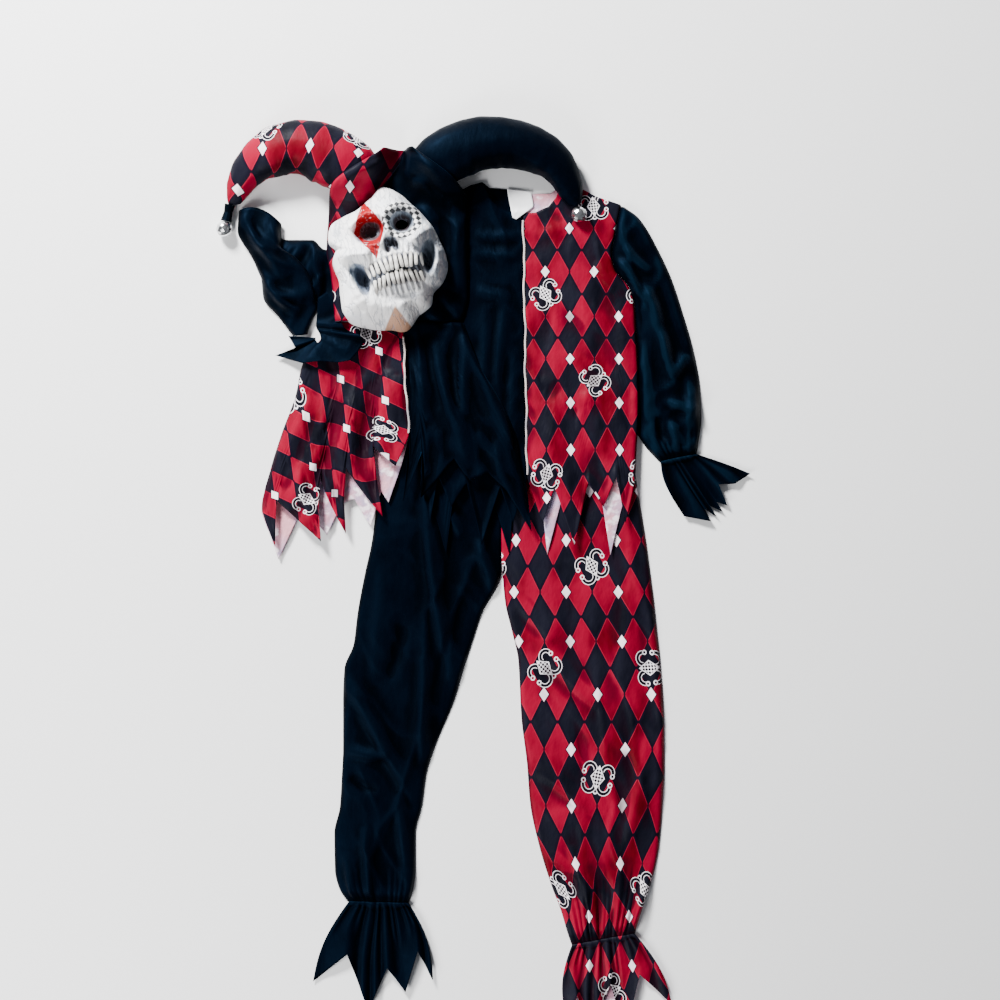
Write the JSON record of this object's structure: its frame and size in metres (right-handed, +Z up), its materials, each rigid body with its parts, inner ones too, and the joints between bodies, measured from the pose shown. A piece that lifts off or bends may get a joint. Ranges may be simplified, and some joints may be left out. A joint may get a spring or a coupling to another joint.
{
  "type": "jester costume",
  "caption": "Jester costume laid flat: jagged tunic over trousers, half black and half harlequin, with a caped hood, two bell-tipped stuffed horns and a skull mask.",
  "frame": {"origin": "on the floor under the trousers' back, beside the centre seam, 109 mm below the waist", "axes": "+Y from the feet to the horns along the costume's length, +X to the viewer's right (the wearer's left), +Z up from the floor"},
  "size_m": [0.8522, 1.4751, 0.0942],
  "materials": {
    "black_cloth": "black polyester knit with a faint blue sheen",
    "harlequin_cloth": "smooth printed polyester, crimson and ink-black lozenges with small white ones, pale pink wrong side",
    "white_tape": "narrow off-white seam tape, slightly soiled",
    "label_cloth": "plain white satin neck label, no printing",
    "bone_latex": "painted moulded latex, bone white with grey-blue shading and red paint",
    "bell_metal": "small nickel-plated jingle bell"
  },
  "bodies": {
    "root": {"trouser_back_black": "black_cloth", "trouser_front_black": "black_cloth", "ankle_ruffle_black_back": "black_cloth", "ankle_ruffle_black_front": "black_cloth", "tunic_back_black": "black_cloth", "tunic_front_black": "black_cloth", "sleeve_right_back": "black_cloth", "sleeve_right_front": "black_cloth", "wrist_ruffle_right_back": "black_cloth", "wrist_ruffle_right_front": "black_cloth", "sleeve_left_upper_back": "black_cloth", "sleeve_left_upper_front": "black_cloth", "sleeve_left_forearm_back": "black_cloth", "sleeve_left_forearm_front": "black_cloth", "wrist_ruffle_left": "black_cloth", "cape_back_black": "black_cloth", "cape_front_black": "black_cloth", "hood_back_black": "black_cloth", "hood_front_black": "black_cloth", "horn_black": "black_cloth", "horn_end_band": "black_cloth", "trouser_back_harlequin": "harlequin_cloth", "trouser_front_harlequin": "harlequin_cloth", "ankle_ruffle_harlequin_back": "harlequin_cloth", "ankle_ruffle_harlequin_front": "harlequin_cloth", "tunic_back_harlequin": "harlequin_cloth", "tunic_front_harlequin": "harlequin_cloth", "cape_back_harlequin": "harlequin_cloth", "cape_front_harlequin": "harlequin_cloth", "hood_back_harlequin": "harlequin_cloth", "hood_front_harlequin": "harlequin_cloth", "horn_harlequin": "harlequin_cloth", "front_seam_tape": "white_tape", "cape_seam_tape": "white_tape", "neck_label": "label_cloth", "mask_shell": "bone_latex", "mask_teeth_upper": "bone_latex", "mask_teeth_lower": "bone_latex", "bell_left": "bell_metal", "bell_right": "bell_metal"}
  },
  "joints": []
}
